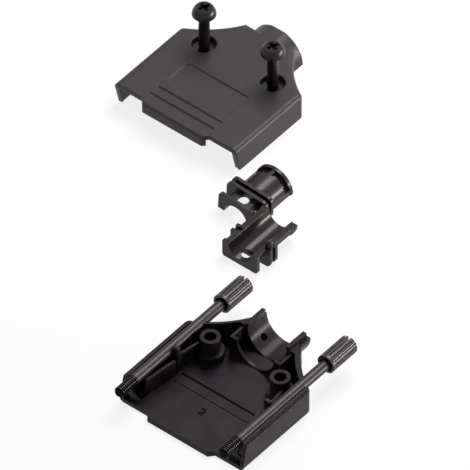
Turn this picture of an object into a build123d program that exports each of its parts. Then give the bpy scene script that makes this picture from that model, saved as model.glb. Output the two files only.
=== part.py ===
from build123d import *
import math
import os

os.makedirs("parts", exist_ok=True)

# A two-part plastic hood for a 15-way D-shaped connector, taken apart and laid out.
# Millimetres. Z = 0 is the table. The origin lies under the lower shell, midway between
# its two screw bosses. +Y runs from the connector face to the cable outlet, +X across.
# Every piece is modelled where it sits in the closed hood and then set down in its place.

# Outline of the closed hood
hood_half_width = 19.7
shell_height = 7.6
wall = 1.5
floor_thickness = 1.3
front_y = -24.9
front_slant = 1.5
corner_y = 1.4
shoulder_arc_r = 31.0
corner_r = 1.6
edge_r = 1.25

# Front lip that laps over the connector's flange
lip_half_width = 9.6
lip_reach = 1.5
lip_taper = 1.3
lip_thickness = 0.9
lower_lip_height = 1.7
cover_lip_height = 3.2

# Cable neck
neck_r = 7.85
neck_start_y = 12.6
neck_end_y = 16.0
neck_bore_r = 6.15
saddle_y = 8.6

# Tongue on the lower shell's rim and the rabbet for it in the cover
ledge = 0.8
tongue_height = 0.8
neck_tongue_height = 1.6
neck_tongue_setback = 0.6
rim_clearance = 0.06

# Cage in front of the neck that holds the cable clamp's flanges
rib_thickness = 0.8
rib_y = 4.2
rib_opening_r = 6.0
cage_wall = 0.7
cage_half_width = 8.05

# Screws that close the hood, and their bosses
screw_half_pitch = 11.15
screw_shank_r = 1.45
screw_head_r = 3.15
screw_head_height = 3.1
screw_head_under_r = 2.6
screw_length = 12.8
screw_lift = 9.7
screw_tip_chamfer = 0.35
recess_width = 0.95
recess_span = 3.1
recess_depth = 1.25
recess_turn = 68.0
bore_clearance = 0.07
head_clearance = 0.1
seat_depth = 2.1
boss_r = 2.6
boss_rise = 0.85
boss_foot_r = 3.6
boss_foot_height = 2.7
boss_bore_r = 1.3
boss_mouth_r = 1.6
boss_mouth_depth = 3.2
tube_r = 3.75

# Thumbscrews that fasten the hood to the mating connector
thumb_pitch = 33.32
thumb_shaft_r = 1.45
thumb_thread_r = 1.42
thumb_thread_length = 5.5
thumb_tip_y = -29.4
thumb_tip_chamfer = 0.4
thumb_clearance = 0.08
knob_y = 11.1
knob_length = 9.5
knob_r = 2.6
knob_groove_depth = 0.32
knob_grooves = 16
knob_base_length = 0.9
knob_recess_r = 2.1
knob_recess_depth = 0.8
knob_bore_length = 7.0
knob_edge = 0.25
slot_width = 0.9
slot_depth = 1.7

# Walls beside the thumbscrews: each runs from a front corner (x, y) to a rear corner
channel_walls = [((14.6, -20.3), (13.4, -10.8)), ((14.0, -8.4), (12.9, -2.0))]
channel_wall = 0.7
channel_drop = 0.9
cradle_y = -8.9
cradle_thickness = 1.1
cradle_inner_x = 13.8
cradle_hook_x = 15.35
cradle_hook_rise = 1.7
cradle_hook_clearance = 0.15

# Thin webs in the lower shell's front corners, with two blind pockets beside each
web_inner_x = 14.4
web_outer_x = 18.0
web_drop = 2.0
web_fall = 3.3
web_front_y = -24.0
web_back_y = -23.4
pocket_x = 18.0
pocket_width = 1.5
pocket_skin = 0.25
pocket_spans = [(1.3, 2.9), (3.7, 5.6)]

# Shallow marks moulded in the lower shell's floor
floor_groove_y = -9.0
floor_groove_width = 0.9
floor_groove_depth = 0.45
floor_line_y = -12.1
floor_line_width = 0.35
floor_line_depth = 0.2
floor_mark_half_width = 13.0
drain_r = 1.05
drain_y = 12.4
drain_angle = 42.0
drain_depth = 1.3

# Label field and grip grooves in the cover's top
label_half_width = 10.0
label_front_y = -16.4
label_back_y = -7.8
label_corner_r = 1.0
label_depth = 0.25
grip_half_width = 10.0
grip_ys = [-19.2, -22.3]
grip_r = 0.36

# Cable clamp half: front face at its own y = 0, split face at its own z = 0
cable_r = 3.6
clamp_r = 5.6
clamp_length = 16.0
ring_length = 1.0
ring_gap = 1.6
ring_core_r = 4.4
barrel_r = 5.15
barrel_rib = 0.9
barrel_rib_rise = 0.2
flange_half_width = 6.4
flange_thickness = 0.95
flange_corner_r = 1.5
flange_fit = 0.15
flange_core_r = 4.65
flange_y = 4.2
side_bar_half_width = 5.35
side_bar_height = 1.5
pin_x = 4.85
pin_r = 0.8
pin_height = 0.6
pin_clearance = 0.1
pin_block_r = 5.85
pin_block_height = 2.2
nose_r = 5.1
nose_depth = 4.15
bib_half_width = 5.6
bib_thickness = 1.1
bib_depth = 5.1
bib_corner = 0.5
peep_r = 1.0
peep_sink_r = 1.5
peep_sink = 0.4
peep_y = 3.0

# Places of the loose pieces on the table, measured from their places in the closed hood
cover_shift = (-67.8, 80.15)
lower_clamp_shift = (-26.6, 31.8)
upper_clamp_shift = (-38.1, 44.1)

# Sizes that follow from the ones above
hood_height = 2 * shell_height
axis_z = shell_height
thumb_x = thumb_pitch / 2
thumb_notch_r = thumb_shaft_r + thumb_clearance
lip_y = front_y - lip_reach
slot_gap = rib_thickness + 2 * flange_fit
rear_flange_y = flange_y + flange_thickness + slot_gap
barrel_y = rear_flange_y + flange_thickness
ring_y = clamp_length - ring_length
clamp_front_y = rib_y - (flange_y + flange_thickness + slot_gap / 2)
seat_z = hood_height - seat_depth
pin_reach = flange_half_width + pin_x - pin_r
upper_clamp_tilt = math.degrees(math.atan(pin_height / pin_reach))
boss_top_z = shell_height + boss_rise

# How far cutting shapes run past what they cut
far = 60.0
run_out = 5.0
bite = 1.0


def block(x0, x1, y0, y1, z0, z1):
    """A box between two corners."""
    centre = Pos((x0 + x1) / 2, (y0 + y1) / 2, (z0 + z1) / 2)
    return centre * Box(x1 - x0, y1 - y0, z1 - z0)


def rod_y(radius, y0, y1, x=0.0, z=0.0):
    """A round bar along Y."""
    return Pos(x, (y0 + y1) / 2, z) * Rot(90, 0, 0) * Cylinder(radius, y1 - y0)


def rod_z(radius, z0, z1, x=0.0, y=0.0):
    """A round bar along Z."""
    return Pos(x, y, (z0 + z1) / 2) * Cylinder(radius, z1 - z0)


def slab(points, y0, y1):
    """A plate whose outline is given in X and Z, from y0 to y1."""
    outline = Polyline(*[(x, y0, z) for x, z in points], close=True)
    return extrude(make_face(outline), amount=y1 - y0, dir=(0, 1, 0))


def across(points, x0, x1):
    """A bar whose outline is given in Y and Z, from x0 to x1."""
    outline = Polyline(*[(x0, y, z) for y, z in points], close=True)
    return extrude(make_face(outline), amount=x1 - x0, dir=(1, 0, 0))


def both_sides(shape):
    """The shape and its mirror image in the hood's middle plane."""
    return shape + mirror(shape, about=Plane.YZ)


def shoulder_centre():
    """Centre of the concave arc that runs from the side wall to the cable neck."""
    dx = neck_r - hood_half_width
    dy = neck_start_y - corner_y
    chord = math.hypot(dx, dy)
    reach = math.sqrt(shoulder_arc_r**2 - (chord / 2) ** 2)
    middle_x = (hood_half_width + neck_r) / 2
    middle_y = (corner_y + neck_start_y) / 2
    return middle_x + reach * dy / chord, middle_y - reach * dx / chord


def plan(inset, rear_y, z0, z1):
    """The hood's outline seen from above, moved in by inset and cut off at rear_y."""
    cx, cy = shoulder_centre()
    radius = shoulder_arc_r + inset
    side_x = hood_half_width - inset
    bend_y = cy - math.sqrt(radius**2 - (cx - side_x) ** 2)
    rear_x = cx - math.sqrt(radius**2 - (cy - rear_y) ** 2)
    start = math.atan2(bend_y - cy, side_x - cx)
    end = math.atan2(rear_y - cy, rear_x - cx)
    half_way = (start + end) / 2
    arc_x = cx + radius * math.cos(half_way)
    arc_y = cy + radius * math.sin(half_way)
    edges = [
        Line((-side_x, front_y), (side_x, front_y)),
        Line((side_x, front_y), (side_x, bend_y)),
        ThreePointArc((side_x, bend_y), (arc_x, arc_y), (rear_x, rear_y)),
        Line((rear_x, rear_y), (-rear_x, rear_y)),
        ThreePointArc((-rear_x, rear_y), (-arc_x, arc_y), (-side_x, bend_y)),
        Line((-side_x, bend_y), (-side_x, front_y)),
    ]
    face = make_face(Curve() + edges)
    return Pos(0, 0, z0) * extrude(face, amount=z1 - z0)


def lip_plate(z0, z1, back_y):
    """The tongue of plate that stands forward of the connector face, between z0 and z1."""
    points = [
        (-lip_half_width, lip_y),
        (lip_half_width, lip_y),
        (lip_half_width + lip_taper, front_y),
        (lip_half_width + lip_taper, back_y),
        (-lip_half_width - lip_taper, back_y),
        (-lip_half_width - lip_taper, front_y),
    ]
    face = make_face(Polyline(*points, close=True))
    return Pos(0, 0, z0) * extrude(face, amount=z1 - z0)


def outer_half():
    """The outside of one shell half, lower way up: a tray blank with rounded edges and neck."""
    blank = plan(0.0, neck_start_y, 0.0, shell_height)
    uprights = blank.edges().filter_by(Axis.Z)
    corners = uprights.filter_by(lambda e: front_y + 1 < e.center().Y < neck_start_y - 1)
    blank = fillet(corners, corner_r)
    underside = blank.edges().filter_by(lambda e: e.center().Z < 0.001)
    rounded = underside.filter_by(lambda e: e.center().Y > front_y + 0.1)
    blank = fillet(rounded, edge_r)
    neck = rod_y(neck_r, saddle_y, neck_end_y, z=axis_z)
    neck = neck & block(-neck_r, neck_r, saddle_y, neck_end_y, 0.0, shell_height)
    return blank + neck


def front_opening(top_z):
    """What is cut from the front so that the walls lean back from the floor to the rim."""
    low = floor_thickness
    points = [
        (front_y - far, low),
        (front_y, low),
        (front_y + front_slant, shell_height),
        (front_y + front_slant, top_z),
        (front_y - far, top_z),
    ]
    return across(points, -far, far)


def thumb_notches():
    """Half-round ways for the two thumbscrew shafts, over the full length of the hood."""
    return both_sides(rod_y(thumb_notch_r, front_y - run_out, neck_end_y, thumb_x, axis_z))


def inner_walls():
    """Ribs, webs and walls on the floor of one shell half, lower way up."""
    low = floor_thickness / 2
    top = shell_height
    parts = block(cage_half_width - cage_wall, cage_half_width, rib_y, saddle_y + 0.5, low, top)
    for (front_x, wall_front_y), (rear_x, wall_rear_y) in channel_walls:
        corners = [
            (front_x, wall_front_y),
            (rear_x, wall_rear_y),
            (rear_x + channel_wall, wall_rear_y),
            (front_x + channel_wall, wall_front_y),
        ]
        face = make_face(Polyline(*corners, close=True))
        parts += Pos(0, 0, low) * extrude(face, amount=top - channel_drop - low)
    parts += block(
        cradle_inner_x,
        hood_half_width - wall / 2,
        cradle_y - cradle_thickness / 2,
        cradle_y + cradle_thickness / 2,
        low,
        top,
    )
    parts = both_sides(parts)
    rib_front = rib_y - rib_thickness / 2
    rib_back = rib_y + rib_thickness / 2
    rib = block(-cage_half_width, cage_half_width, rib_front, rib_back, low, top)
    rib -= rod_y(rib_opening_r, rib_front - 1, rib_back + 1, z=axis_z)
    return parts + rib


def front_web():
    """The thin sloping web in the lower shell's right front corner."""
    side = hood_half_width - wall / 2
    low = floor_thickness / 2
    outline = [
        (side, low),
        (side, shell_height),
        (web_outer_x, shell_height),
        (web_outer_x, shell_height - web_drop),
        (web_inner_x, shell_height - web_drop - web_fall),
        (web_inner_x, low),
    ]
    return slab(outline, web_front_y, web_back_y)


def front_pockets():
    """The stacked pockets that open at the front of the lower shell's right side wall."""
    pockets = []
    for z0, z1 in pocket_spans:
        pockets.append(
            block(
                pocket_x - pocket_width / 2,
                pocket_x + pocket_width / 2,
                front_y - bite,
                web_back_y - pocket_skin,
                z0,
                z1,
            )
        )
    return pockets


def cradle_hook(gap):
    """The hook on the right cradle that snaps over the shaft, larger all round by gap."""
    return block(
        cradle_inner_x - gap,
        cradle_hook_x + gap,
        cradle_y - cradle_thickness / 2 - gap,
        cradle_y + cradle_thickness / 2 + gap,
        shell_height - bite,
        shell_height + cradle_hook_rise + gap,
    )


def half_shell():
    """What both shell halves have in common, lower way up, from the underside to the rim."""
    shell = outer_half()
    shell -= plan(wall, saddle_y, floor_thickness, shell_height + bite)
    shell -= block(
        -hood_half_width + wall,
        hood_half_width - wall,
        front_y - bite,
        front_y + bite,
        floor_thickness,
        shell_height + bite,
    )
    shell += inner_walls()
    shell -= front_opening(shell_height + bite)
    shell += lip_plate(0.0, floor_thickness, front_y + bite)
    shell -= rod_y(neck_bore_r, saddle_y - bite / 2, neck_end_y + bite, z=axis_z)
    return shell


def rim_step(gap):
    """The raised inner part of the lower rim, larger all round by gap, for tongue or rabbet."""
    z0 = shell_height - gap
    z1 = shell_height + tongue_height + gap
    step = plan(ledge - gap, neck_start_y, z0, z1)
    step -= plan(wall + gap, saddle_y - gap, z0 - 1, z1 + 1)
    hollow_front = front_y + front_slant
    step -= block(-far, far, front_y - run_out, hollow_front - gap, z0 - bite, z1 + bite)
    half = neck_r - ledge + gap
    neck_top = shell_height + neck_tongue_height + gap
    end = neck_end_y - neck_tongue_setback + gap
    step += block(-half, half, saddle_y - gap, end, z0, neck_top)
    step -= rod_y(neck_bore_r, saddle_y - bite, neck_end_y + bite, z=axis_z)
    return step


def lower_shell():
    """The open tray with bosses, corner webs, tongue and saddle."""
    shell = half_shell()
    shell += both_sides(front_web())
    for pocket in front_pockets():
        shell -= both_sides(pocket)
    above_floor = block(-far, far, front_y - run_out, 0, floor_thickness, far)
    shell -= front_opening(shell_height + bite) & above_floor
    shell += lip_plate(0.0, floor_thickness, front_y + bite)
    shell += rim_step(0.0)
    shell += both_sides(cradle_hook(0.0))
    for side in (-1, 1):
        x = side * screw_half_pitch
        shell += rod_z(boss_foot_r, floor_thickness / 2, floor_thickness + boss_foot_height, x)
        shell += rod_z(boss_r, floor_thickness / 2, boss_top_z, x)
    for side in (-1, 1):
        x = side * screw_half_pitch
        shell -= rod_z(boss_bore_r, -bite, boss_top_z + bite, x)
        shell -= rod_z(boss_mouth_r, boss_top_z - boss_mouth_depth, boss_top_z + bite, x)
    shell += lip_plate(0.0, lower_lip_height, front_y + bite) & block(
        -far, far, lip_y, lip_y + lip_thickness, 0.0, lower_lip_height
    )
    shell -= thumb_notches()
    shell -= block(
        -floor_mark_half_width,
        floor_mark_half_width,
        floor_groove_y - floor_groove_width / 2,
        floor_groove_y + floor_groove_width / 2,
        floor_thickness - floor_groove_depth,
        floor_thickness + 0.01,
    )
    shell -= block(
        -floor_mark_half_width,
        floor_mark_half_width,
        floor_line_y - floor_line_width / 2,
        floor_line_y + floor_line_width / 2,
        floor_thickness - floor_line_depth,
        floor_thickness + 0.01,
    )
    drain = Pos(0, drain_y, axis_z) * Rot(0, drain_angle, 0)
    depth = neck_bore_r + drain_depth
    shell -= drain * Pos(0, 0, -depth / 2) * Cylinder(drain_r, depth)
    return shell


def cover():
    """The upper shell, in its closed place, with counterbored screw holes and label field."""
    shell = mirror(half_shell(), about=Plane.XY.offset(shell_height))
    shell -= rim_step(rim_clearance)
    shell -= both_sides(cradle_hook(cradle_hook_clearance))
    shell += lip_plate(hood_height - cover_lip_height, hood_height, front_y + bite) & block(
        -far, far, lip_y, lip_y + lip_thickness, 0.0, hood_height
    )
    tube_low = boss_top_z + rim_clearance
    for side in (-1, 1):
        x = side * screw_half_pitch
        shell += rod_z(tube_r, tube_low, hood_height - floor_thickness / 2, x)
    for side in (-1, 1):
        x = side * screw_half_pitch
        shell -= rod_z(screw_head_r + head_clearance, seat_z, hood_height + bite, x)
        shell -= rod_z(screw_shank_r + bore_clearance, tube_low - bite, hood_height, x)
    shell -= thumb_notches()
    label = RectangleRounded(
        2 * label_half_width, label_back_y - label_front_y, label_corner_r
    )
    label_place = Pos(0, (label_back_y + label_front_y) / 2, hood_height - label_depth)
    shell -= label_place * extrude(label, amount=1.0)
    for y in grip_ys:
        groove = Pos(0, y, hood_height) * Rot(0, 90, 0) * Cylinder(grip_r, 2 * grip_half_width)
        shell -= groove
        for side in (-1, 1):
            shell -= Pos(side * grip_half_width, y, hood_height) * Sphere(grip_r)
    front_top = shell.edges().filter_by(Axis.X)
    lip_edge = front_top.filter_by(
        lambda e: e.center().Y < lip_y + 0.01 and e.center().Z > hood_height - 0.01
    )
    return fillet(lip_edge, lip_thickness * 0.8)


def clamp_half():
    """One half of the cable clamp, trough upwards, front face at y = 0, split face at z = 0."""
    body = rod_y(barrel_r, barrel_y - 0.2, ring_y - ring_gap)
    body += rod_y(ring_core_r, ring_y - ring_gap - 0.2, ring_y + 0.2)
    body += rod_y(clamp_r, ring_y, clamp_length)
    body += rod_y(flange_core_r, flange_y, barrel_y)
    rib_low = -barrel_r - barrel_rib_rise
    body += block(-barrel_rib / 2, barrel_rib / 2, barrel_y - 0.2, ring_y + 0.2, rib_low, 0.0)
    for y in (flange_y, rear_flange_y):
        flange = block(
            -flange_half_width, flange_half_width, y, y + flange_thickness, -clamp_r, 2.0
        )
        corners = flange.edges().filter_by(Axis.Y).group_by(Axis.Z)[0]
        body += fillet(corners, flange_corner_r)
    nose = rod_y(nose_r, bib_thickness / 2, flange_y + 0.2)
    body += nose & block(-far, far, 0.0, flange_y + 1, -nose_depth, far)
    bib = block(-bib_half_width, bib_half_width, 0.0, bib_thickness, -bib_depth, far)
    body += chamfer(bib.edges().filter_by(Axis.Y).group_by(Axis.Z)[0], bib_corner)
    for side in (-1, 1):
        inner_x = side * cable_r
        outer_x = side * side_bar_half_width
        body += block(
            min(inner_x, outer_x),
            max(inner_x, outer_x),
            barrel_y - 0.2,
            ring_y + 0.2,
            -side_bar_height,
            0.0,
        )
    gap_block = rod_y(pin_block_r, flange_y + 0.2, barrel_y - 0.2)
    body += gap_block & block(-far, -cable_r, 0.0, barrel_y, -pin_block_height, far)
    body += gap_block & block(cable_r, far, 0.0, barrel_y, -pin_block_height, far)
    body &= block(-far, far, 0.0, clamp_length, -clamp_r, 0.0)
    pin_y = (flange_y + barrel_y) / 2
    body += rod_z(pin_r, -pin_height, pin_height, pin_x, pin_y)
    hole_r = pin_r + pin_clearance
    body -= rod_z(hole_r, -pin_height - pin_clearance, pin_height, -pin_x, pin_y)
    body -= rod_y(cable_r, -1.0, clamp_length + 1)
    body -= rod_z(peep_r, -clamp_r - 1, 0.0, 0.0, peep_y)
    for z in (-nose_depth, -cable_r):
        body -= rod_z(peep_sink_r, z - peep_sink, z + peep_sink, 0.0, peep_y)
    return body


def cover_screw():
    """Cross-recess screw standing on its tip: tip at z = 0, head on top."""
    under = screw_length
    shank = rod_z(screw_shank_r, 0.0, under + 0.1)
    tip = shank.faces().sort_by(Axis.Z)[0].edges()
    shank = chamfer(tip, screw_tip_chamfer)
    rise = screw_head_height
    skirt = screw_head_r - screw_head_under_r
    head = Pos(0, 0, under + skirt / 2) * Cone(screw_head_under_r, screw_head_r, skirt)
    dome = rod_z(screw_head_r, under + skirt, under + rise)
    head += dome & Pos(0, 0, under + skirt) * Sphere(screw_head_r)
    recess = Box(recess_span, recess_width, 2 * recess_depth)
    recess += Box(recess_width, recess_span, 2 * recess_depth)
    recess += Pos(0, 0, -recess_depth) * Cone(0.1, recess_width, recess_depth)
    head -= Pos(0, 0, under + rise) * Rot(0, 0, recess_turn) * recess
    return shank + head


def thumbscrew():
    """Threaded steel rod along Y: a thread at the front, a plain shaft up to inside its knob."""
    thread_end = thumb_tip_y + thumb_thread_length
    rod = rod_y(thumb_thread_r, thumb_tip_y, thread_end + 0.1)
    tip = rod.faces().sort_by(Axis.Y)[0].edges()
    rod = chamfer(tip, thumb_tip_chamfer)
    return rod + rod_y(thumb_shaft_r, thread_end, knob_y + knob_bore_length)


def thumb_knob():
    """Ribbed knob with a plain base ring, a recess round the shaft and a driver slot."""
    end = knob_y + knob_length
    knob = rod_y(knob_r, knob_y, end)
    rims = knob.edges().filter_by(GeomType.CIRCLE)
    knob = chamfer(rims, knob_edge)
    pitch = 360.0 / knob_grooves
    groove_r = math.pi * knob_r / knob_grooves / 2
    for i in range(knob_grooves):
        angle = math.radians(i * pitch)
        away = knob_r + groove_r - knob_groove_depth
        x = away * math.cos(angle)
        z = away * math.sin(angle)
        knob -= rod_y(groove_r, knob_y + knob_base_length, end + 1, x, z)
    knob -= rod_y(knob_recess_r, knob_y - 1, knob_y + knob_recess_depth)
    knob -= rod_y(thumb_shaft_r, knob_y, knob_y + knob_bore_length)
    knob -= block(
        -slot_width / 2, slot_width / 2, end - slot_depth, end + 1, -knob_r - 1, knob_r + 1
    )
    return knob


def place_pieces():
    """Every piece by name, where it lies on the table."""
    pieces = {}
    pieces["lower_shell"] = lower_shell()
    on_table = Pos(cover_shift[0], cover_shift[1], -shell_height)
    pieces["cover"] = on_table * cover()
    clamp = clamp_half()
    low_x, low_y = lower_clamp_shift
    pieces["lower_cable_clamp"] = Pos(low_x, low_y + clamp_front_y, clamp_r) * clamp
    high_x, high_y = upper_clamp_shift
    turned = Rot(0, 180 + upper_clamp_tilt, 0) * clamp
    lift = -turned.bounding_box().min.Z
    pieces["upper_cable_clamp"] = Pos(high_x, high_y + clamp_front_y, lift) * turned
    for side, name in ((-1, "left"), (1, "right")):
        x = side * screw_half_pitch + cover_shift[0]
        z = shell_height + screw_lift - screw_length
        pieces[f"cover_screw_{name}"] = Pos(x, cover_shift[1], z) * cover_screw()
        pieces[f"thumbscrew_{name}"] = Pos(side * thumb_x, 0, axis_z) * thumbscrew()
        pieces[f"thumb_knob_{name}"] = Pos(side * thumb_x, 0, axis_z) * thumb_knob()
    return pieces


for name, piece in place_pieces().items():
    box = piece.bounding_box()
    print(name, "solids", len(piece.solids()), "volume", round(piece.volume, 2), box.min, box.max)
    export_step(piece, f"parts/{name}.step")
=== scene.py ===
# %% [markdown]
# # A D-shaped connector hood, taken apart
#
# The hood is a small black plastic housing. It closes round a connector and its cable.
# Here it lies open on a table: the cover at the back, the two halves of the cable clamp in
# the middle, and the lower shell with its two long thumbscrews in front.
#
# The solid model already gives every piece its place and main shape. This lesson adds what
# makes the pieces look real: threads, ribbed knobs, cross recesses and moulded plastic.

# %% Load the solid model
import math

import bpy
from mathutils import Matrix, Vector


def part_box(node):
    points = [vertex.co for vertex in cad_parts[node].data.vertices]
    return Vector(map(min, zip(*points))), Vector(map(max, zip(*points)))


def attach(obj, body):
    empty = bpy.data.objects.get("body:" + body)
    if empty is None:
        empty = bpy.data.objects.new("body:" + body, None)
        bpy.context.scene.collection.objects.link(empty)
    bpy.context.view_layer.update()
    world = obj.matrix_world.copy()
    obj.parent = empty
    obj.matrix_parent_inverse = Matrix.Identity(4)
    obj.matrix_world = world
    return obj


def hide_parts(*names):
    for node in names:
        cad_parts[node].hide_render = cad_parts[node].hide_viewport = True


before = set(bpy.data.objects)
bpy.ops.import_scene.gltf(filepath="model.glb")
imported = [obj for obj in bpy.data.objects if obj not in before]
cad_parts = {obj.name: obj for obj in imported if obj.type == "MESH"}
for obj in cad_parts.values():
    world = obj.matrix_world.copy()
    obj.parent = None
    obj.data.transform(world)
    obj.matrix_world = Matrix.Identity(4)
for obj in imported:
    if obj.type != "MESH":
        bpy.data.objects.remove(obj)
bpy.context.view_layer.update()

# %% [markdown]
# ## Millimetres and a clean selection
#
# Blender works in metres and this object is small, so `mm` keeps the numbers readable. An
# operator works on all that is selected, so each step first clears the selection. A new
# object gets a plain name as soon as it is made.

# %% First helpers
mm = 0.001


def clear_selection():
    if bpy.context.mode != "OBJECT":
        bpy.ops.object.mode_set(mode="OBJECT")
    bpy.ops.object.select_all(action="DESELECT")


def named(name):
    """Names the newest object and its data."""
    piece = bpy.context.object
    piece.name = name
    piece.data.name = name
    return piece


print("one millimetre is", mm, "metres")

# %% [markdown]
# ## The camera
#
# The photograph looks down at about 45 degrees with a very long lens: parallel edges stay
# parallel. A lens of about 1440 mm from almost five metres away gives the same look. The
# camera is aimed so that the hood fills the 470 by 470 picture at about four pixels a
# millimetre.

# %% Camera at the photograph's angle
azimuth = math.radians(39.33)
elevation = math.radians(44.65)
picture_size = 470
pixels_per_mm = 4.009
origin_pixel = (245.05, 379.5)
sensor_width = 36
# the aim lies this far behind the origin, along the line of sight
aim_depth = 37.0
camera_distance = 4700.0

camera_right = Vector((math.cos(azimuth), math.sin(azimuth), 0))
camera_back = Vector(
    (
        math.sin(azimuth) * math.cos(elevation),
        -math.cos(azimuth) * math.cos(elevation),
        math.sin(elevation),
    )
)
camera_up = camera_back.cross(camera_right)
aim = camera_right * ((picture_size / 2 - origin_pixel[0]) / pixels_per_mm)
aim += camera_up * ((origin_pixel[1] - picture_size / 2) / pixels_per_mm)
aim -= camera_back * aim_depth

clear_selection()
bpy.ops.object.camera_add(location=(aim + camera_back * camera_distance) * mm)
camera = bpy.context.object
camera.rotation_euler = camera_back.to_track_quat("Z", "Y").to_euler()
camera.data.sensor_width = sensor_width
camera.data.lens = sensor_width * camera_distance / (picture_size / pixels_per_mm)
camera.data.clip_start = 0.1
camera.data.clip_end = 100
bpy.context.scene.camera = camera
print("lens of", round(camera.data.lens), "mm")

# %% [markdown]
# ## Who sees the white page
#
# The pieces lie on plain white, as on a page of a catalogue. If all that white lit them as
# well, black plastic would look grey. The Light Path node tells the rays apart: the camera
# sees white, and so do the rays that shiny and clear surfaces send out, while the light that
# falls on matt surfaces comes from a dim room and three lamps. The table and the world both
# need this, so it is a small function.

# %% What the camera and mirrors see
def shown_white(nodes, links):
    """Is 1 for rays from the camera and from shiny or clear surfaces, otherwise 0."""
    path = nodes.new("ShaderNodeLightPath")
    both = nodes.new("ShaderNodeMath")
    both.operation = "MAXIMUM"
    all_three = nodes.new("ShaderNodeMath")
    all_three.operation = "MAXIMUM"
    links.new(path.outputs["Is Camera Ray"], both.inputs[0])
    links.new(path.outputs["Is Glossy Ray"], both.inputs[1])
    links.new(both.outputs[0], all_three.inputs[0])
    links.new(path.outputs["Is Transmission Ray"], all_three.inputs[1])
    return all_three.outputs[0]


# %% [markdown]
# ## The table
#
# The table is a wide white plane. For the rays named above it glows a little, so it comes
# out white without stronger lamps. The rest of it stays an ordinary pale surface that shows
# a soft shadow under each piece.

# %% White table
table_size = 40
table_glow = 0.83
table_white = (0.92, 0.92, 0.92, 1)

clear_selection()
bpy.ops.mesh.primitive_plane_add(size=table_size, location=(0, 0, 0))
table = named("table")
table_paint = bpy.data.materials.new("white table")
table_paint.use_nodes = True
nodes = table_paint.node_tree.nodes
links = table_paint.node_tree.links
table_shader = nodes["Principled BSDF"]
table_shader.inputs["Base Color"].default_value = table_white
table_shader.inputs["Roughness"].default_value = 0.7
glow = nodes.new("ShaderNodeEmission")
blend = nodes.new("ShaderNodeMixShader")
share = nodes.new("ShaderNodeMath")
share.operation = "MULTIPLY"
share.inputs[1].default_value = table_glow
links.new(shown_white(nodes, links), share.inputs[0])
links.new(share.outputs[0], blend.inputs["Fac"])
links.new(table_shader.outputs["BSDF"], blend.inputs[1])
links.new(glow.outputs["Emission"], blend.inputs[2])
links.new(blend.outputs["Shader"], nodes["Material Output"].inputs["Surface"])
table.data.materials.append(table_paint)
print("table of", table_size, "metres, of which", table_glow, "glows")

# %% [markdown]
# ## The room
#
# The world is the room round the table. It is dim towards the camera and brighter at the
# back, because light from behind draws the edges of black pieces. The dot product with a
# line that points backwards and slightly up says how far back a direction points, and Map
# Range makes a strength of it. Where the page is seen, its white is used instead.

# %% World
room_in_front = 0.08
room_behind = 0.26
backwards = (-math.sin(azimuth), math.cos(azimuth), 0.25)

world = bpy.data.worlds.new("studio")
world.use_nodes = True
bpy.context.scene.world = world
nodes = world.node_tree.nodes
links = world.node_tree.links
background = nodes["Background"]
background.inputs["Color"].default_value = (1, 1, 1, 1)
direction = nodes.new("ShaderNodeTexCoord")
backness = nodes.new("ShaderNodeVectorMath")
backness.operation = "DOT_PRODUCT"
backness.inputs[1].default_value = backwards
studio = nodes.new("ShaderNodeMapRange")
studio.interpolation_type = "SMOOTHSTEP"
studio.inputs["From Min"].default_value = -0.5
studio.inputs["From Max"].default_value = 0.7
studio.inputs["To Min"].default_value = room_in_front
studio.inputs["To Max"].default_value = room_behind
strength = nodes.new("ShaderNodeMath")
strength.operation = "MAXIMUM"
links.new(direction.outputs["Generated"], backness.inputs[0])
links.new(backness.outputs["Value"], studio.inputs["Value"])
links.new(studio.outputs["Result"], strength.inputs[0])
links.new(shown_white(nodes, links), strength.inputs[1])
links.new(strength.outputs[0], background.inputs["Strength"])
print("room from", room_in_front, "in front to", room_behind, "behind")

# %% [markdown]
# ## The lamps
#
# Three soft lamps shine on the middle of the pieces. A square one above and behind lays a
# soft sheen on the flat faces. A wide, low and slightly warm one at the right picks out the
# side walls and the rods. A weak one fills the left side.

# %% Lamps
lamp_distance = 0.7
lit_middle = Vector((-0.03, 0.03, 0))
white_light = (1.0, 1.0, 1.0)
warm_light = (1.0, 0.95, 0.91)


def area_lamp(name, towards, width, height, watts, colour):
    """A soft lamp that shines on the middle of the pieces from a direction."""
    clear_selection()
    towards = Vector(towards).normalized()
    bpy.ops.object.light_add(type="AREA", location=lit_middle + towards * lamp_distance)
    lamp = bpy.context.object
    lamp.name = name
    lamp.rotation_euler = towards.to_track_quat("Z", "Y").to_euler()
    lamp.data.shape = "RECTANGLE"
    lamp.data.size = width
    lamp.data.size_y = height
    lamp.data.energy = watts
    lamp.data.color = colour
    print(name, "of", watts, "watts")


area_lamp("top lamp", (-0.04, 0.46, 0.92), 0.36, 0.36, 4.5, white_light)
area_lamp("low right lamp", (0.80, 0.58, 0.08), 0.45, 0.09, 5.6, warm_light)
area_lamp("left lamp", (-1.0, -0.1, 0.40), 0.25, 0.25, 0.4, white_light)

# %% [markdown]
# ## Grain that all finishes share
#
# All the finishes have the same kind of fine grain, so the grain is a node group. It gives
# out a fine noise for the bumps and a broad one for faint clouds in colour and gloss. A
# function makes the empty group with its sockets, because a second group follows.

# %% Node group for grain
def new_group(name, inputs, outputs):
    group = bpy.data.node_groups.new(name, "ShaderNodeTree")
    for socket, kind, value in inputs:
        made = group.interface.new_socket(socket, in_out="INPUT", socket_type=kind)
        made.default_value = value
    for socket, kind in outputs:
        group.interface.new_socket(socket, in_out="OUTPUT", socket_type=kind)
    start = group.nodes.new("NodeGroupInput")
    end = group.nodes.new("NodeGroupOutput")
    print("node group", name)
    return group, start, end


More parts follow.
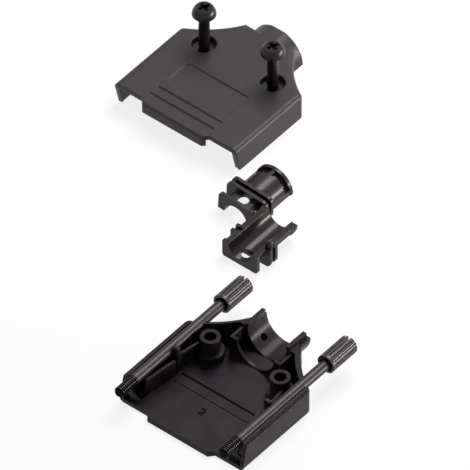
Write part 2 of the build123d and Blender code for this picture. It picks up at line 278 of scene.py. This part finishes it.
grain_group, grain_in, grain_out = new_group(
    "moulded grain",
    [("Scale", "NodeSocketFloat", 3000.0)],
    [("Height", "NodeSocketFloat"), ("Cloud", "NodeSocketFloat")],
)
place = grain_group.nodes.new("ShaderNodeTexCoord")
fine = grain_group.nodes.new("ShaderNodeTexNoise")
fine.inputs["Detail"].default_value = 4
broad = grain_group.nodes.new("ShaderNodeTexNoise")
broad.inputs["Scale"].default_value = 160
broad.inputs["Detail"].default_value = 3
link = grain_group.links.new
link(place.outputs["Object"], fine.inputs["Vector"])
link(place.outputs["Object"], broad.inputs["Vector"])
link(grain_in.outputs["Scale"], fine.inputs["Scale"])
link(fine.outputs["Fac"], grain_out.inputs["Height"])
link(broad.outputs["Fac"], grain_out.inputs["Cloud"])

# %% [markdown]
# ## Painted highlight on edges
#
# The second group finds sharp edges. It compares the true normal with a slightly rounded
# one from the Bevel node. The difference is a mask for a painted highlight that makes the
# edges paler, and the rounded normal makes the edges catch the light as moulded edges do.

# %% Node group for edges
edge_group, edge_in, edge_out = new_group(
    "rounded edge",
    [("Radius", "NodeSocketFloat", 0.2 * mm)],
    [("Normal", "NodeSocketVector"), ("Edge", "NodeSocketFloat")],
)
bevel = edge_group.nodes.new("ShaderNodeBevel")
bevel.samples = 6
geometry = edge_group.nodes.new("ShaderNodeNewGeometry")
compare = edge_group.nodes.new("ShaderNodeVectorMath")
compare.operation = "DOT_PRODUCT"
edge_range = edge_group.nodes.new("ShaderNodeMapRange")
edge_range.inputs["From Min"].default_value = 0.99
edge_range.inputs["From Max"].default_value = 0.80
link = edge_group.links.new
link(edge_in.outputs["Radius"], bevel.inputs["Radius"])
link(bevel.outputs["Normal"], compare.inputs[0])
link(geometry.outputs["Normal"], compare.inputs[1])
link(compare.outputs["Value"], edge_range.inputs["Value"])
link(bevel.outputs["Normal"], edge_out.inputs["Normal"])
link(edge_range.outputs["Result"], edge_out.inputs["Edge"])

# %% [markdown]
# ## One recipe for every finish
#
# Moulded black plastic is never pure black. It is a very dark warm grey and a little
# uneven, and its edges get a painted highlight that makes them paler. Its gloss varies a
# little too. Blackened steel needs the same things in other amounts. So one function builds
# the material, and each finish gets its own colours, gloss, grain depth and edge width.

# %% Recipe
# painted highlight: the share of the pale colour laid on sharp edges
painted_edge_highlight = 0.7
cloud_tint = 0.12
gloss_swing = 0.07
grain_strength = 0.5


def finish(name, dark, pale, roughness, mirror, grain_depth, edge_radius, metallic=0.0):
    """A material from two colours: dark in general, pale at edges and in faint clouds."""
    material = bpy.data.materials.new(name)
    material.use_nodes = True
    tree = material.node_tree
    shader = tree.nodes["Principled BSDF"]
    shader.inputs["Metallic"].default_value = metallic
    shader.inputs["Specular IOR Level"].default_value = mirror
    grain = tree.nodes.new("ShaderNodeGroup")
    grain.node_tree = grain_group
    edge = tree.nodes.new("ShaderNodeGroup")
    edge.node_tree = edge_group
    edge.inputs["Radius"].default_value = edge_radius
    colour = tree.nodes.new("ShaderNodeMix")
    colour.data_type = "RGBA"
    colour.inputs["A"].default_value = (*dark, 1)
    colour.inputs["B"].default_value = (*pale, 1)
    # mixes the pale colour into edges, as a painted highlight, and into random clouds
    edge_highlight_mix = tree.nodes.new("ShaderNodeMath")
    edge_highlight_mix.operation = "MULTIPLY_ADD"
    edge_highlight_mix.use_clamp = True
    edge_highlight_mix.inputs[1].default_value = painted_edge_highlight
    uneven = tree.nodes.new("ShaderNodeMapRange")
    uneven.inputs["From Min"].default_value = 0.35
    uneven.inputs["From Max"].default_value = 0.70
    uneven.inputs["To Max"].default_value = cloud_tint
    rough = tree.nodes.new("ShaderNodeMapRange")
    rough.inputs["To Min"].default_value = roughness - gloss_swing
    rough.inputs["To Max"].default_value = roughness + gloss_swing
    bump = tree.nodes.new("ShaderNodeBump")
    bump.inputs["Strength"].default_value = grain_strength
    bump.inputs["Distance"].default_value = grain_depth
    link = tree.links.new
    link(grain.outputs["Cloud"], uneven.inputs["Value"])
    link(edge.outputs["Edge"], edge_highlight_mix.inputs[0])
    link(uneven.outputs["Result"], edge_highlight_mix.inputs[2])
    link(edge_highlight_mix.outputs["Value"], colour.inputs["Factor"])
    link(colour.outputs["Result"], shader.inputs["Base Color"])
    link(grain.outputs["Cloud"], rough.inputs["Value"])
    link(rough.outputs["Result"], shader.inputs["Roughness"])
    link(grain.outputs["Height"], bump.inputs["Height"])
    link(edge.outputs["Normal"], bump.inputs["Normal"])
    link(bump.outputs["Normal"], shader.inputs["Normal"])
    print("finish", name)
    return material


# %% [markdown]
# ## Plastics
#
# The cover has a coarse grain and a soft edge. The lower shell shows its smoother and darker
# inside. The clamp has the sharpest gloss of these three, and the knobs are paler than all
# else. The mirror value is low, because the page that they mirror is white.

# %% Plastic finishes
cover_plastic = finish(
    "cover plastic",
    dark=(0.0232, 0.0176, 0.0214),
    pale=(0.046, 0.038, 0.042),
    roughness=0.42,
    mirror=0.27,
    grain_depth=0.040 * mm,
    edge_radius=0.7 * mm,
)
tray_plastic = finish(
    "tray plastic",
    dark=(0.0205, 0.0156, 0.0190),
    pale=(0.080, 0.069, 0.075),
    roughness=0.28,
    mirror=0.09,
    grain_depth=0.012 * mm,
    edge_radius=0.2 * mm,
)
clamp_plastic = finish(
    "clamp plastic",
    dark=(0.016, 0.0112, 0.0114),
    pale=(0.064, 0.051, 0.055),
    roughness=0.25,
    mirror=0.21,
    grain_depth=0.006 * mm,
    edge_radius=0.2 * mm,
)
knob_plastic = finish(
    "knob plastic",
    dark=(0.042, 0.033, 0.035),
    pale=(0.140, 0.116, 0.120),
    roughness=0.30,
    mirror=0.28,
    grain_depth=0.006 * mm,
    edge_radius=0.08 * mm,
)

# %% [markdown]
# ## Steels
#
# The thumbscrews are dark steel with a long sheen. The cover screws and the thread's crests
# are blacker. A third finish is almost without light. It is painted shade: it fills thread
# grooves and draws two small marks.

# %% Steel and groove finishes
dark_steel = finish(
    "dark steel",
    dark=(0.030, 0.025, 0.027),
    pale=(0.090, 0.079, 0.084),
    roughness=0.40,
    mirror=0.35,
    grain_depth=0.0005 * mm,
    edge_radius=0.06 * mm,
    metallic=0.7,
)
black_steel = finish(
    "black steel",
    dark=(0.010, 0.008, 0.008),
    pale=(0.070, 0.062, 0.060),
    roughness=0.28,
    mirror=0.3,
    grain_depth=0.0005 * mm,
    edge_radius=0.05 * mm,
    metallic=0.35,
)
# painted shade: almost black, for thread grooves and two small marks
painted_shade_black = finish(
    "painted shade black",
    dark=(0.003, 0.003, 0.003),
    pale=(0.008, 0.007, 0.007),
    roughness=0.60,
    mirror=0.03,
    grain_depth=0.003 * mm,
    edge_radius=0.05 * mm,
)

# %% [markdown]
# ## Finishing the shells and the clamp
#
# The two shells and the two clamp halves already have their true shape in the solid model,
# so they only get a finish. Their meshes are left as they are.

# %% Paint the moulded pieces
def paint(piece, material):
    piece.data.materials.clear()
    piece.data.materials.append(material)


for node, plastic in (
    ("lower_shell", tray_plastic),
    ("cover", cover_plastic),
    ("lower_cable_clamp", clamp_plastic),
    ("upper_cable_clamp", clamp_plastic),
):
    paint(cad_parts[node], plastic)
    print(node, "in", plastic.name)

# %% [markdown]
# ## Working on one piece
#
# Each new piece is made at the origin, where sums are easy, and then laid in its place.
# Applying place, turn and scale moves all that into the mesh, so that the object itself
# stays at the origin, as the solid model's pieces do. A finished mesh has its double points
# merged and its faces turned outwards.

# %% Settle and close a mesh
def pick(piece):
    clear_selection()
    piece.select_set(True)
    bpy.context.view_layer.objects.active = piece


def settle(piece):
    """Applies place, turn and scale, so that the object sits at the origin."""
    pick(piece)
    bpy.ops.object.transform_apply(location=True, rotation=True, scale=True)


def outward(piece):
    """Merges doubles and turns every face outwards."""
    pick(piece)
    bpy.ops.object.mode_set(mode="EDIT")
    bpy.ops.mesh.select_all(action="SELECT")
    bpy.ops.mesh.remove_doubles(threshold=0.001 * mm)
    bpy.ops.mesh.normals_make_consistent(inside=False)
    bpy.ops.object.mode_set(mode="OBJECT")


def apply_modifier(piece, kind, **settings):
    pick(piece)
    modifier = piece.modifiers.new(kind.lower(), kind)
    for name, value in settings.items():
        setattr(modifier, name, value)
    bpy.ops.object.modifier_apply(modifier=modifier.name)


def report(piece):
    print(piece.name, "has", len(piece.data.polygons), "faces")


# %% [markdown]
# ## A screw thread
#
# A thread is a ridge that climbs round a rod. It could be carved, but it is easier to sweep:
# a small four-cornered outline stands beside the axis, narrower at its outer side, and the
# Screw modifier turns it round and moves it up by one pitch each turn. The two open ends are
# closed afterwards.

# %% Thread ridge along Z
crest_share = 0.5
root_share = 0.72
steps_a_turn = 28


def thread_ridge(radius, depth, pitch, start, turns):
    """A closed ridge from height start, with its crest at the radius."""
    clear_selection()
    bpy.ops.mesh.primitive_plane_add(size=1)
    ridge = named("thread ridge")
    bpy.ops.object.mode_set(mode="EDIT")
    bpy.ops.mesh.delete(type="ONLY_FACE")
    bpy.ops.object.mode_set(mode="OBJECT")
    for corner in ridge.data.vertices:
        corner.select = corner.co.x > 0
    for side in ridge.data.edges:
        side.select = all(ridge.data.vertices[i].select for i in side.vertices)
    bpy.ops.object.mode_set(mode="EDIT")
    bpy.ops.transform.resize(value=(1, crest_share, 1))
    bpy.ops.object.mode_set(mode="OBJECT")
    ridge.rotation_euler = (math.radians(90), 0, 0)
    ridge.scale = (depth, root_share * pitch, 1)
    ridge.location = (radius - depth / 2, 0, start)
    settle(ridge)
    apply_modifier(
        ridge,
        "SCREW",
        axis="Z",
        angle=math.radians(360),
        screw_offset=pitch,
        iterations=turns,
        steps=steps_a_turn,
        render_steps=steps_a_turn,
        use_normal_calculate=True,
    )
    pick(ridge)
    bpy.ops.object.mode_set(mode="EDIT")
    bpy.ops.mesh.select_all(action="SELECT")
    bpy.ops.mesh.fill_holes(sides=4)
    bpy.ops.object.mode_set(mode="OBJECT")
    outward(ridge)
    report(ridge)
    return ridge


# %% [markdown]
# ## Turned shapes from a disc
#
# Screws, rods, knobs and pins are all turned shapes. Each starts as a short cylinder on the
# floor. Its top face is then pushed up and narrowed or widened, step by step, as a turner
# works along a bar. Many small steps along a circle make a dome.

# %% Push, resize and dome
def round_blank(name, sides, radius, height):
    """A cylinder that stands on the origin."""
    clear_selection()
    bpy.ops.mesh.primitive_cylinder_add(
        vertices=sides, radius=radius, depth=height, location=(0, 0, height / 2)
    )
    blank = named(name)
    settle(blank)
    return blank


def pick_faces(piece, test):
    """Opens the piece in edit mode with only the faces selected that pass the test."""
    pick(piece)
    bpy.ops.object.mode_set(mode="EDIT")
    bpy.ops.mesh.select_mode(type="FACE")
    bpy.ops.mesh.select_all(action="DESELECT")
    bpy.ops.object.mode_set(mode="OBJECT")
    for face in piece.data.polygons:
        face.select = test(face)
    bpy.ops.object.mode_set(mode="EDIT")


def top_face(face):
    return face.normal.z > 0.9


def push(height):
    """Extrudes the selected faces along Z."""
    bpy.ops.mesh.extrude_region_move(TRANSFORM_OT_translate={"value": (0, 0, height)})


def resize(share):
    bpy.ops.transform.resize(value=(share, share, 1))


def dome(radius, flatness, all_degrees):
    """Pushes and narrows the selected face along a circle that is flattened in height."""
    now_z, now_r = 0.0, radius
    for degrees in all_degrees:
        angle = math.radians(degrees)
        next_z = flatness * radius * math.sin(angle)
        next_r = radius * math.cos(angle)
        push(next_z - now_z)
        resize(next_r / now_r)
        now_z, now_r = next_z, next_r


# %% [markdown]
# ## The head of the cover screws
#
# Each cover screw has a round head that draws in towards the shank. So the disc starts
# narrower than the head, flares out in two steps, and then closes in a dome that ends in a
# small flat top.

# %% Round head
screw_low, screw_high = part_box("cover_screw_left")
screw_axis = (screw_low + screw_high) / 2
screw_tip_z = screw_low.z
head_r = (screw_high.x - screw_low.x) / 2
head_waist_r = head_r - 0.25 * mm
head_under_r = head_r - 0.80 * mm
head_rim = 0.2 * mm
head_flare = 0.25 * mm
head_side = 0.30 * mm
head_height = 3.1 * mm
head_z = screw_high.z - head_height

head = round_blank("screw head", 40, head_under_r, head_rim)
pick_faces(head, top_face)
push(head_flare)
resize(head_waist_r / head_under_r)
push(head_side)
resize(head_r / head_waist_r)
dome(head_r, 1.0, (12, 24, 36, 43, 48))
bpy.ops.object.mode_set(mode="OBJECT")
head_top = max(v.co.z for v in head.data.vertices)
print("screw head", round(head_top / mm, 2), "mm high")

# %% [markdown]
# ## The cross recess
#
# The driver's recess is a cross whose arms narrow downwards. It is cut with two crossed
# bars. A bar is a box whose lower face is made smaller, and half of its height stands above
# the head, so that the cut goes cleanly through the top.

# %% Cross recess
recess_length = 4.4 * mm
recess_width = 1.45 * mm
recess_depth = 1.3 * mm
# the lower face of a bar, as shares of its upper one
recess_foot = (0.42, 0.6, 1)
recess_turn = math.radians(68)


def recess_bar(turn):
    clear_selection()
    bpy.ops.mesh.primitive_cube_add(size=1)
    bar = named("recess bar")
    bar.scale = (recess_length, recess_width, 2 * recess_depth)
    bar.location = (0, 0, head_top)
    settle(bar)
    pick_faces(bar, lambda face: face.normal.z < -0.9)
    bpy.ops.transform.resize(value=recess_foot)
    bpy.ops.object.mode_set(mode="OBJECT")
    bar.rotation_euler = (0, 0, turn)
    settle(bar)
    return bar


def cut(piece, tool):
    """Cuts the tool out of the piece and deletes the tool."""
    apply_modifier(piece, "BOOLEAN", operation="DIFFERENCE", object=tool, solver="MANIFOLD")
    bpy.data.objects.remove(tool)


cut(head, recess_bar(recess_turn))
cut(head, recess_bar(recess_turn + math.radians(90)))
head.location = (0, 0, head_z - screw_tip_z)
settle(head)
report(head)

# %% [markdown]
# ## Shank and thread of the cover screw
#
# The shank is plain down to a short thread at its tip, which still holds in the cover. It is
# one turned shape: a narrowed tip, a core, and a step out to the shank, which ends a little
# inside the head. Head, shank and thread are joined, because they are one piece of steel.

# %% Shank and thread
shank_r = 1.45 * mm
core_r = 1.18 * mm
core_length = 0.6 * mm
tip_share = 0.85
tip_height = 0.3 * mm
shank_step = 0.25 * mm
shank_in_head = 0.1 * mm
shank_height = head_z - screw_tip_z + shank_in_head


def join(pieces, name):
    clear_selection()
    for piece in pieces:
        piece.select_set(True)
    bpy.context.view_layer.objects.active = pieces[0]
    bpy.ops.object.join()
    return named(name)


def soften(piece, angle):
    """Shades the faces smooth wherever they meet at less than the angle."""
    pick(piece)
    bpy.ops.object.shade_smooth_by_angle(angle=math.radians(angle))


shank = round_blank("screw shank", 36, core_r * tip_share, tip_height)
pick_faces(shank, top_face)
push(shank_step)
resize(1 / tip_share)
push(core_length)
push(shank_step)
resize(shank_r / core_r)
push(shank_height - tip_height - core_length - 2 * shank_step)
bpy.ops.object.mode_set(mode="OBJECT")
screw_thread = thread_ridge(
    radius=shank_r, depth=0.36 * mm, pitch=0.5 * mm, start=0.42 * mm, turns=1
)
cover_screw = join([head, shank, screw_thread], "cover_screw_l")
cover_screw.location = (screw_axis.x, screw_axis.y, screw_tip_z)
settle(cover_screw)
outward(cover_screw)
soften(cover_screw, 40)
paint(cover_screw, black_steel)
report(cover_screw)

# %% [markdown]
# ## The second cover screw
#
# The other screw is the same part, so it is a copy with its own mesh, moved sideways by the
# distance between the two solids.

# %% Both cover screws
def copy_to(piece, name, offset):
    """A copy with its own mesh, moved by an offset in metres."""
    twin = piece.copy()
    twin.data = piece.data.copy()
    bpy.context.collection.objects.link(twin)
    twin.name = name
    twin.data.name = name
    twin.location = offset
    settle(twin)
    return twin


screw_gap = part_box("cover_screw_right")[0].x - screw_low.x
second_screw = copy_to(cover_screw, "cover_screw_r", (screw_gap, 0, 0))
for piece, node, body in (
    (cover_screw, "cover_screw_left", "left_cover_screw"),
    (second_screw, "cover_screw_right", "right_cover_screw"),
):
    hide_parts(node)
    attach(piece, body)
    report(piece)

# %% [markdown]
# ## The thumbscrews' rods
#
# A long steel rod with a fine thread in front lies along each side of the hood. It is turned
# standing up: a thin core for the thread, then a step out to the full shaft. The ridge of
# the thread is swept round the core.

# %% Threaded rod
rod_low, rod_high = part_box("thumbscrew_left")
rod_axis = (rod_low + rod_high) / 2
rod_length = rod_high.y - rod_low.y
rod_r = 1.45 * mm
rod_tip_share = 0.8
rod_step = 0.3 * mm
thread_r = 1.42 * mm
thread_core_r = 1.02 * mm
thread_pitch = 0.635 * mm
thread_run = 6.4 * mm

rod = round_blank("rod", 40, thread_core_r * rod_tip_share, rod_step)
pick_faces(rod, top_face)
push(rod_step)
resize(1 / rod_tip_share)
push(thread_run - 3 * rod_step)
push(rod_step)
resize(rod_r / thread_core_r)
push(rod_length - thread_run)
bpy.ops.object.mode_set(mode="OBJECT")
rod_thread = thread_ridge(
    radius=thread_r, depth=0.48 * mm, pitch=thread_pitch, start=0.45 * mm, turns=9
)
thumbscrew = join([rod, rod_thread], "thumbscrew_l")
report(thumbscrew)

# %% [markdown]
# ## Finishes along the rod
#
# On a real screw the crests of the thread keep some shine, and the flanks and the core
# between them lie in shade, which is painted here with the almost black finish. The faces
# are picked while the rod still stands upright, because then a flank is simply a face that
# looks up or down. The last lines lay the rod along Y, with its thread towards the front.

# %% Painted thread, laid down
def paint_faces(piece, material, test):
    """Gives one more material to the faces that pass the test."""
    piece.data.materials.append(material)
    painted = [face for face in piece.data.polygons if test(face)]
    for face in painted:
        face.material_index = len(piece.data.materials) - 1
    print(len(painted), "faces of", piece.name, "in", material.name)


def in_thread(face):
    return face.center.z < thread_run


def groove_side_or_floor(face):
    from_axis = math.hypot(face.center.x, face.center.y)
    is_flank = abs(face.normal.z) > 0.5 and from_axis > thread_core_r
    return in_thread(face) and (is_flank or from_axis < thread_core_r)


paint(thumbscrew, dark_steel)
paint_faces(thumbscrew, black_steel, in_thread)
# painted shade: the thread's flanks and core are painted almost black
paint_faces(thumbscrew, painted_shade_black, groove_side_or_floor)
thumbscrew.rotation_euler = (math.radians(-90), 0, 0)
settle(thumbscrew)
thumbscrew.location = (rod_axis.x, rod_low.y, rod_axis.z)
settle(thumbscrew)
outward(thumbscrew)
soften(thumbscrew, 40)

# %% [markdown]
# ## The ribbed knobs
#
# The knob on each thumbscrew has coarse straight ribs to grip. It starts as a cylinder with
# twice as many sides as it has ribs. Every second side face, above the plain base, is
# extruded and pulled in towards the axis to make a groove.

# %% Ribbed knob
knob_low, knob_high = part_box("thumb_knob_left")
knob_axis = (knob_low + knob_high) / 2
knob_length = knob_high.y - knob_low.y
knob_r = (knob_high.x - knob_low.x) / 2
rib_count = 16
base_length = 0.8 * mm
rib_foot = 0.15 * mm
knob_chamfer = 0.3 * mm
knob_end_share = 0.88
groove_share = 0.86

knob = round_blank("thumb_knob_l", rib_count * 2, knob_r, base_length)
pick_faces(knob, top_face)
push(rib_foot)
push(knob_length - base_length - rib_foot - knob_chamfer)
push(knob_chamfer)
resize(knob_end_share)
bpy.ops.object.mode_set(mode="OBJECT")


def groove_side(face):
    if abs(face.normal.z) > 0.8 or face.center.z < base_length + rib_foot:
        return False
    turn = math.atan2(face.center.y, face.center.x) % (2 * math.pi)
    return int(turn / (math.pi / rib_count)) % 2 == 0


pick_faces(knob, groove_side)
bpy.ops.mesh.extrude_region_shrink_fatten(TRANSFORM_OT_shrink_fatten={"value": 0.0})
bpy.ops.transform.resize(value=(groove_share, groove_share, 1), center_override=(0, 0, 0))
bpy.ops.object.mode_set(mode="OBJECT")
outward(knob)
report(knob)

# %% [markdown]
# ## Ring recess and driver slot
#
# At its base the knob has a deep ring round the shaft, and across its end a slot for a
# driver. The ring's tool is a disc whose middle is sunk, so a low collar is left round the
# shaft. A small bevel then softens every edge, and the knob is laid along Y like the rod.

# %% Ring, slot and soft edges
ring_r = 2.0 * mm
ring_depth = 0.8 * mm
ring_width = 0.55 * mm
collar_height = 0.5 * mm
slot_width = 0.9 * mm
# longer than the knob is wide, so that the slot is open at both ends
slot_length = 6 * mm
slot_depth = 1.7 * mm
edge_width = 0.06 * mm

clear_selection()
bpy.ops.mesh.primitive_cylinder_add(
    vertices=40, radius=ring_r, depth=2 * ring_depth, location=(0, 0, 0)
)
ring_tool = named("ring tool")
settle(ring_tool)
pick_faces(ring_tool, top_face)
bpy.ops.mesh.inset(thickness=ring_width)
push(-collar_height)
bpy.ops.object.mode_set(mode="OBJECT")
cut(knob, ring_tool)
clear_selection()
bpy.ops.mesh.primitive_cube_add(size=1, location=(0, 0, knob_length))
slot_tool = named("slot tool")
slot_tool.scale = (slot_width, slot_length, 2 * slot_depth)
settle(slot_tool)
cut(knob, slot_tool)
apply_modifier(knob, "BEVEL", width=edge_width, segments=2, limit_method="ANGLE")
knob.rotation_euler = (math.radians(-90), 0, 0)
settle(knob)
knob.location = (knob_axis.x, knob_low.y, knob_axis.z)
settle(knob)
soften(knob, 30)
paint(knob, knob_plastic)
report(knob)

# %% [markdown]
# ## The second thumbscrew
#
# The thumbscrew on the right is a copy of the left one. The knob rides on the same body as
# its rod, because on the real part it is moulded on the rod and turns with it.

# %% Both thumbscrews
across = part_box("thumbscrew_right")[0].x - rod_low.x
second_rod = copy_to(thumbscrew, "thumbscrew_r", (across, 0, 0))
second_knob = copy_to(knob, "thumb_knob_r", (across, 0, 0))
for piece, node, body, slot in (
    (thumbscrew, "thumbscrew_left", "left_thumbscrew", "thumbscrew_metal"),
    (second_rod, "thumbscrew_right", "right_thumbscrew", "thumbscrew_metal"),
    (knob, "thumb_knob_left", "left_thumbscrew", "knob_plastic"),
    (second_knob, "thumb_knob_right", "right_thumbscrew", "knob_plastic"),
):
    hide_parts(node)
    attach(piece, body)
    report(piece)

# %% [markdown]
# ## The clamp's rounded pin
#
# A pin on each clamp half finds the hole of the other half. On the half that lies with its
# opening up, the pin stands clear, so its rounded end is modelled: a short cylinder with a
# slightly flattened dome. It stands where the solid model has its plain short pin.

# %% Rounded pin on the lower clamp half
pin_r = 1.0 * mm
pin_foot = 0.4 * mm
pin_side = 1.1 * mm
pin_place = Vector((-21.75, 36.0, 5.4)) * mm

pin = round_blank("clamp_pin", 32, pin_r, pin_foot)
pick_faces(pin, top_face)
push(pin_side)
dome(pin_r, 0.8, (20, 40, 58, 74))
bpy.ops.object.mode_set(mode="OBJECT")
pin.location = pin_place
settle(pin)
outward(pin)
soften(pin, 40)
paint(pin, clamp_plastic)
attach(pin, "shells_and_clamps")
report(pin)

# %% [markdown]
# ## The cavity number
#
# A moulding tool with several cavities marks each part with the number of its cavity. Here
# it stands on the floor of the lower shell. A text object gives the digit its thickness and
# a little extra weight, and it is made a mesh before it is placed, like any other piece.

# %% Cavity number
shell_floor = 1.3 * mm
digit_place = (-0.4 * mm, -16.2 * mm, shell_floor)

clear_selection()
bpy.ops.object.text_add(location=(0, 0, 0))
digit = bpy.context.object
digit.data.body = "2"
digit.data.size = 3.2 * mm
digit.data.extrude = 0.15 * mm
digit.data.offset = 0.07 * mm
digit.data.align_x = "CENTER"
digit.data.align_y = "CENTER"
bpy.ops.object.convert(target="MESH")
digit = named("cavity_number")
digit.location = digit_place
settle(digit)
outward(digit)
# painted shade: the whole digit is almost black, in place of the shade along its strokes
paint(digit, painted_shade_black)
report(digit)

# %% [markdown]
# ## The mark of the ejector pin
#
# A pin in the tool pushes the finished part out and leaves a faint round mark. It is a very
# flat disc with a sunk middle, in the shell's own plastic, with its side in painted shade.

# %% Pin mark
mark_r = 1.8 * mm
mark_height = 0.08 * mm
mark_rim = 0.16 * mm
mark_sink = 0.035 * mm
mark_place = (10.4 * mm, -16.9 * mm, shell_floor)

clear_selection()
bpy.ops.mesh.primitive_cylinder_add(
    vertices=48, radius=mark_r, depth=mark_height, location=mark_place
)
pin_mark = named("pin_mark")
settle(pin_mark)
pick_faces(pin_mark, top_face)
bpy.ops.mesh.inset(thickness=mark_rim)
push(-mark_sink)
bpy.ops.object.mode_set(mode="OBJECT")
outward(pin_mark)
paint(pin_mark, tray_plastic)
# painted shade: the mark's side is almost black
paint_faces(pin_mark, painted_shade_black, lambda face: face.normal.z < 0.5)
report(pin_mark)
for piece in (digit, pin_mark):
    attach(piece, "shells_and_clamps")

# %% [markdown]
# ## Finish
#
# The view transform is Standard, so that a colour renders about as it is written.

# %% View transform
bpy.context.scene.view_settings.view_transform = "Standard"
